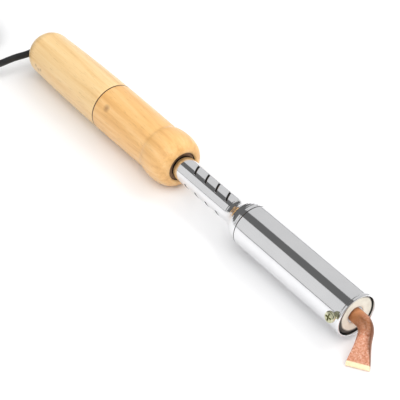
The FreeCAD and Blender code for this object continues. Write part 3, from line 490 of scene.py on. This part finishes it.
def plug():
    """Moulded two-blade plug: waisted finger grips and a ribbed tapered sleeve."""
    rings = []
    stages = ((0.0, 0.80, 0.80), (0.6, 0.92, 0.92), (2.0, 1.0, 1.0), (9.0, 1.0, 1.0), (13.0, 0.90, 0.97),
              (18.0, 0.84, 0.94), (23.0, 0.90, 0.97), (27.5, 1.0, 1.0), (29.2, 1.0, 1.0), (29.8, 0.97, 0.96),
              (30.0, 0.93, 0.92))
    for back, wide, high in stages:
        ring = superellipse(11.0 * wide, 7.75 * high, 4.2)
        rings.append([PLUG + Vector((-back, p.x, p.y)) for p in ring])
    body = skin("moulded_plug", rings, MATERIALS["plug_black"])
    give(body, "iron", ("plug_body",))
    rings = []
    ribs = 5
    for k in range(81):
        t = k / 80
        radius = 5.2 + (3.0 - 5.2) * t
        wave = (t * ribs) % 1.0
        if 0.62 < wave < 0.92 and t < 0.95:
            radius -= 0.75 * (1 - t)
        radius = min(radius, 5.2)
        ring = superellipse(radius, radius, 2.0, 32)
        rings.append([PLUG + Vector((20.0 * t - 0.5 * (1 - t), p.x, p.y)) for p in ring])
    sleeve = skin("plug_sleeve", rings, MATERIALS["plug_black"], 50)
    give(sleeve, "iron", ("plug_relief",))
    return body, sleeve


def contact_blade(side):
    """A flat contact blade with a rounded, chamfered end and a hole near it."""
    outline_points = []
    length, half, corner = 17.0, 3.15, 1.4
    for k in range(9):
        angle = math.pi / 2 + math.pi / 2 * k / 8
        outline_points.append(Vector((-length + corner * (1 + math.cos(angle)),
                                      half - corner * (1 - math.sin(angle)))))
    lower = [Vector((p.x, -p.y)) for p in reversed(outline_points)]
    shape = [Vector((0.4, half))] + outline_points + lower + [Vector((0.4, -half))]
    curve = bpy.data.curves.new("contact_blade_%s" % side, "CURVE")
    curve.dimensions = "2D"
    curve.fill_mode = "BOTH"
    curve.extrude = 0.62 * MM
    curve.bevel_depth = 0.13 * MM
    curve.offset = -0.13 * MM
    hole = [Vector((-length + 4.2 + 1.6 * math.cos(a), 1.6 * math.sin(a)))
            for a in (2 * math.pi * k / 20 for k in range(20))]
    for loop in (shape, hole):
        spline = curve.splines.new("POLY")
        spline.points.add(len(loop) - 1)
        for point, place in zip(spline.points, loop):
            point.co = (place.x * MM, place.y * MM, 0, 1)
        spline.use_cyclic_u = True
    curve.materials.append(MATERIALS["brass"])
    made = bpy.data.objects.new("contact_blade_%s" % side, curve)
    bpy.context.scene.collection.objects.link(made)
    sign = 1 if side == "left" else -1
    made.matrix_world = (Matrix.Translation((PLUG + Vector((-30.0, sign * 6.35, 0))) * MM)
                         @ Matrix.Rotation(math.pi / 2, 4, "X"))
    return made


plug_piece, sleeve_piece = plug()
blades = [give(contact_blade(side), "iron", ("plug_pins",)) for side in ("left", "right")]


def strap():
    """The tie round the hank: a flat strap with rounded corners and slightly chamfered edges."""
    count = 96
    thickness = 1.0
    edge_scale = 0.9875
    half_w = LANES[1] + CORD_RADIUS + thickness
    middle = (HANK_TOP + thickness) / 2
    outside = superellipse(half_w, middle, 9.0, count)
    inside = superellipse(half_w - thickness, middle - thickness, 9.0, count)
    rings = ((-4.0, outside, edge_scale), (-3.7, outside, 1.0), (3.7, outside, 1.0),
             (4.0, outside, edge_scale), (4.0, inside, 1.0), (-4.0, inside, 1.0))
    points = [Vector((TIE_X + along, HANK.y + p.x * scale, middle + p.y * scale))
              for along, ring, scale in rings for p in ring]
    faces = []
    for k in range(len(rings)):
        here, after = k * count, (k + 1) % len(rings) * count
        faces += [(here + j, here + (j + 1) % count, after + (j + 1) % count, after + j)
                  for j in range(count)]
    return make_mesh("hank_strap", points, faces, MATERIALS["tie"])


strap_piece = give(strap(), "iron", ("hank_tie",))


# ---------------------------------------------------------------- wooden handle

def cap_profile():
    return split_long(outline([
        (2.5, 4.0), (2.0, 4.6), (2.0, 6.6), (2.25, 7.5, 12.5), (15.0, 15.4, 1750.0), (88.9, 16.7, 0.6),
        (89.35, 16.2), (89.35, 12.5), (106.4, 12.5), (106.4, 9.5), (16.0, 9.5), (16.0, 4.0)], 24), 5.0)


def front_profile():
    return split_long(outline([
        (89.45, 12.58), (89.45, 16.2, 0.6), (89.9, 16.7, 2500.0), (140.2, 16.3, -9.0), (145.0, 17.1, 40.0),
        (154.0, 17.9, 27.0), (162.0, 16.4, 7.0), (166.5, 11.2), (166.3, 10.5), (165.6, 10.0), (158.0, 10.0),
        (158.0, 8.2), (118.0, 8.2), (118.0, 9.5), (106.5, 9.5), (106.5, 12.58)], 24), 5.0)


give(lathe("turned_cap", cap_profile(), MATERIALS["wood_rear"]), "iron", ("handle_rear_cap",))
give(lathe("turned_front", front_profile(), MATERIALS["wood_front"]), "iron", ("handle_front",))
seam = [(88.95, 15.8), (88.95, 16.69), (89.85, 16.69), (89.85, 15.8)]
give(lathe("seam_glue_line", [Vector(p) for p in seam], MATERIALS["glue"]), "iron")
recess = [(158.3, 9.84), (158.3, 9.98), (165.3, 9.98), (165.3, 9.84)]
give(lathe("recess_shade", [Vector(p) for p in recess], MATERIALS["black_and_painted_shade"]), "iron")


# ---------------------------------------------------------------- chromed shank and barrel

def shank():
    """The shank tube with three rows of vent slots, cut out between its rings and columns."""
    first, pitch, half, slant = 181.3, 10.45, 0.85, 2.2
    outer = [Vector((116.5, 8.2))]
    stations = [118.0, 140.0, 158.0, 166.0, 174.0]
    for k in range(4):
        centre = first + pitch * k
        stations += [centre - half - 0.12, centre - half, centre + half, centre + half + 0.12,
                     centre + pitch / 2]
    stations.pop()
    outer += [Vector((s, 8.2)) for s in stations]
    outer += outline([(217.5, 8.2, -14.9), (226.2, 11.0, 15.7), (235.0, 13.75), (235.3, 13.9)], 44)
    for p in outer:
        if 218.5 < p.x < 234.5:
            p.y += 0.022 * math.sin(2 * math.pi * p.x / 1.5) + 0.012 * math.sin(2 * math.pi * p.x / 2.3)
    slot_half = math.radians(24.5)
    columns = []
    for row in range(3):
        middle = math.radians(92 + 120 * row)
        columns += [middle - slot_half + 2 * slot_half * k / 8 for k in range(9)]
        span = 2 * math.pi / 3 - 2 * slot_half
        columns += [middle + slot_half + span * k / 22 for k in range(1, 22)]

    def slid(station, column):
        """The station moved along the iron where the column crosses the edge of a slanted slot."""
        place = column % 30
        share = place / 4 - 1 if place <= 8 else 1 - (place - 8) / 11
        near = any(abs(station - first - pitch * k) < half + 0.2 for k in range(4))
        return station + slant * share if near else station

    points = [on_iron(slid(p.x, column), p.y, angle) for column, angle in enumerate(columns) for p in outer]
    faces = []
    rows = len(outer)
    for c in range(len(columns)):
        in_slot_column = c % 30 < 8
        nxt = (c + 1) % len(columns)
        for r in range(rows - 1):
            mid = (outer[r].x + outer[r + 1].x) / 2
            in_slot = any(abs(mid - first - pitch * k) < half for k in range(4))
            if in_slot_column and in_slot:
                continue
            faces.append((c * rows + r, nxt * rows + r, nxt * rows + r + 1, c * rows + r + 1))
    made = make_mesh("slotted_shank", points, faces, MATERIALS["chrome"], True, 40)
    shell = made.modifiers.new("wall", "SOLIDIFY")
    shell.thickness = 0.9 * MM
    shell.offset = -1
    # Painted shade: the wall's rim faces, at the slot cuts and the tube's ends, get the near-black material
    # so that the slots look dark.
    made.data.materials.append(MATERIALS["black_and_painted_shade"])
    shell.material_offset_rim = 1
    return made


give(shank(), "iron", ("shank_tube",))
# Painted shade: a near-black sleeve just inside the shank, so that the slots show dark inside.
painted_shade_liner = [Vector(p) for p in ((160.0, 7.0), (160.0, 7.26), (217.0, 7.26), (217.0, 7.0))]
give(lathe("shank_painted_shade_lining", split_long(painted_shade_liner, 8.0), MATERIALS["black_and_painted_shade"]), "iron")

barrel_profile = outline([
    (235.75, 13.2), (235.75, 13.7, 0.3), (236.05, 14.0), (328.3, 14.0, 1.3), (330.45, 14.05, 0.5),
    (330.2, 13.35), (329.7, 13.2)], 8)
give(lathe("heater_barrel", split_long(barrel_profile, 8.0), MATERIALS["chrome"], segments=192), "iron",
     ("barrel",))
# Painted shade: a near-black ring between the ceramic bush and the barrel wall, standing in for the shadowed
# gap.
painted_shade_ring = [Vector(p) for p in ((327.4, 12.75), (327.7, 12.75), (327.7, 13.17), (327.4, 13.17))]
give(lathe("packing_painted_shade", painted_shade_ring, MATERIALS["black_and_painted_shade"]), "iron")


def end_bush():
    profile = outline([
        (321.5, 5.65), (321.5, 12.68), (328.4, 12.68, 0.8), (329.2, 11.9), (329.3, 11.6), (329.3, 6.2),
        (328.9, 5.65)], 6)
    return lathe("ceramic_bush", split_long(profile, 3.0), MATERIALS["ceramic"])


give(end_bush(), "iron", ("end_bush",))


# ---------------------------------------------------------------- clamp screw

def on_screw(radius, angle, height):
    """A point round the clamp screw's line; height is the distance from the iron's axis."""
    upright = Vector((radius * math.cos(angle), radius * math.sin(angle), height))
    turned = Matrix.Rotation(SCREW_ROLL, 3, "X") @ upright
    return Vector((REAR + SCREW_STATION, 0, AXIS)) + turned


def screw_thread():
    """A real helical M4 thread of 0.7 mm pitch from the point up to the head."""
    pitch, start, end = 0.7, 4.65, 17.25
    around, steps = 40, 8
    points, faces = [], []
    rows = int((end - start) / (pitch / steps)) + 1
    for r in range(rows):
        height = start + r * pitch / steps
        for k in range(around):
            angle = 2 * math.pi * k / around
            phase = ((height - start) / pitch - k / around) % 1.0
            tooth = abs(phase - 0.5) * 2
            radius = 1.62 + 0.38 * min(1.0, max(0.0, (tooth - 0.08) / 0.8))
            radius -= max(0.0, 1 - (height - start) / 0.8) * 0.5
            points.append(on_screw(radius, angle, height))
    for r in range(rows - 1):
        for k in range(around):
            nxt = (k + 1) % around
            faces.append((r * around + k, r * around + nxt, (r + 1) * around + nxt, (r + 1) * around + k))
    faces.append(tuple(range(around))[::-1])
    faces.append(tuple(range((rows - 1) * around, rows * around)))
    return make_mesh("screw_thread", points, faces, MATERIALS["zinc"], True, 60)


def screw_head():
    """Pan head with a cross recess, made as a grid bent over the dome and sunk at the cross."""
    rings = 22
    around = 96
    points, faces = [], []
    profile = [Vector((0.0, 19.65))]
    for k in range(1, 15):
        radius = 2.7 * k / 14
        profile.append(Vector((radius, 19.65 - 0.22 * (radius / 2.7) ** 2)))
    profile += [p for p in arc((2.7, 19.43), (3.5, 18.55), 1.0, 6)]
    profile += [Vector(p) for p in ((3.5, 18.5), (3.5, 17.5), (3.4, 17.3), (3.2, 17.25), (2.0, 17.25))]
    for p in profile[1:]:
        for k in range(around):
            angle = 2 * math.pi * k / around
            height = p.y
            if p.x < 2.4 and p.y > 19:
                across = min(abs(p.x * math.cos(angle)), abs(p.x * math.sin(angle)))
                along = max(abs(p.x * math.cos(angle)), abs(p.x * math.sin(angle)))
                if across < 0.46 and along < 2.15:
                    depth = min(1.2, max(0.0, 2.15 - along) * 2.2 + 0.25)
                    height -= depth
            points.append(on_screw(p.x, angle, height))
    centre = len(points)
    points.append(on_screw(0, 0, 19.65 - 1.2))
    count = len(profile) - 1
    for r in range(count - 1):
        for k in range(around):
            nxt = (k + 1) % around
            faces.append((r * around + k, (r + 1) * around + k, (r + 1) * around + nxt, r * around + nxt))
    faces += [(centre, k, (k + 1) % around) for k in range(around)]
    return make_mesh("screw_head", points, faces, MATERIALS["zinc"], True, 30)


give(screw_thread(), "screw", ("clamp_screw",))
give(screw_head(), "screw")


# ---------------------------------------------------------------- CAD pieces shown as they are

PLAIN = {
    "insulating_bush": "bush_brown", "cap_pins": "steel", "retaining_washer": "steel", "bit_sleeve": "steel",
    "heating_winding": "steel", "mica_inner": "mica", "mica_outer": "mica", "packing_sleeve": "mica",
    "end_disc": "ceramic", "heater_lead_left": "ceramic", "heater_lead_right": "ceramic",
    "clamp_nut": "steel", "terminal_block": "ceramic", "terminal_screws": "brass",
    "cord_clamp_lower": "fibre", "cord_clamp_upper": "fibre", "cord_clamp_screws": "steel",
    "cord_inner": "cord_black", "core_brown": "core_brown", "core_blue": "core_blue", "cord_grommet": "black_and_painted_shade",
    "copper_tip": None,
}
for node, key in PLAIN.items():
    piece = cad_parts[node]
    piece.data.materials.clear()
    if key:
        piece.data.materials.append(MATERIALS[key])
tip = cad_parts["copper_tip"]
tip.data.materials.append(copper())


# ---------------------------------------------------------------- table and light

def area(name, place, target, size, power, colour=(1, 1, 1), size_y=None):
    data = bpy.data.lights.new(name, "AREA")
    data.shape = "RECTANGLE" if size_y else "SQUARE"
    data.size = size
    if size_y:
        data.size_y = size_y
    data.energy = power
    data.color = colour
    lamp = bpy.data.objects.new(name, data)
    lamp.location = place
    lamp.rotation_euler = (Vector(target) - Vector(place)).to_track_quat("-Z", "Y").to_euler()
    bpy.context.scene.collection.objects.link(lamp)
    return lamp


def table():
    n = Nodes("white_table")
    cloud = n.noise(n.coords, 9, 3.0)
    colour = n.mix(n.ramp(cloud, [(0.3, 0.0), (0.7, 1.0)]), (0.93, 0.93, 0.935), (0.92, 0.92, 0.925))
    material = n.finish(colour, 0.55, Specular_IOR_Level=0.2)
    half = 4000.0
    corners = [(-half, -half, -0.05), (half, -half, -0.05), (half, half, -0.05), (-half, half, -0.05)]
    made = make_mesh("table_top", corners, [(0, 1, 2, 3)], material, False)


table()


def studio():
    """Two wide soft panels either side of the table, three smaller soft lamps and an even, dim room."""
    world = bpy.data.worlds.new("studio")
    world.use_nodes = True
    world.node_tree.nodes["Background"].inputs["Color"].default_value = (0.16, 0.16, 0.16, 1.0)
    bpy.context.scene.world = world
    panels = (area("rear_panel", (0, 1.10, 1.02), (0, 0, 0), 3.6, 17.0, size_y=2.5),
              area("near_panel", (0, -1.30, 0.80), (0, 0, 0), 3.6, 13.0, size_y=1.7))
    lamps = (area("key_softbox", (0.15, 0.75, 0.95), (0, 0, 0), 0.9, 6.5),
             area("front_softbox", (0.35, -0.45, 1.2), (0, 0, 0), 1.2, 9.0),
             area("side_softbox", (0.9, -0.1, 0.9), (0, 0, 0), 0.7, 4.5))
    for light in panels + lamps:
        light.visible_camera = False
    for lamp in lamps:
        lamp.visible_glossy = False


studio()
bpy.context.scene.view_settings.view_transform = "Standard"
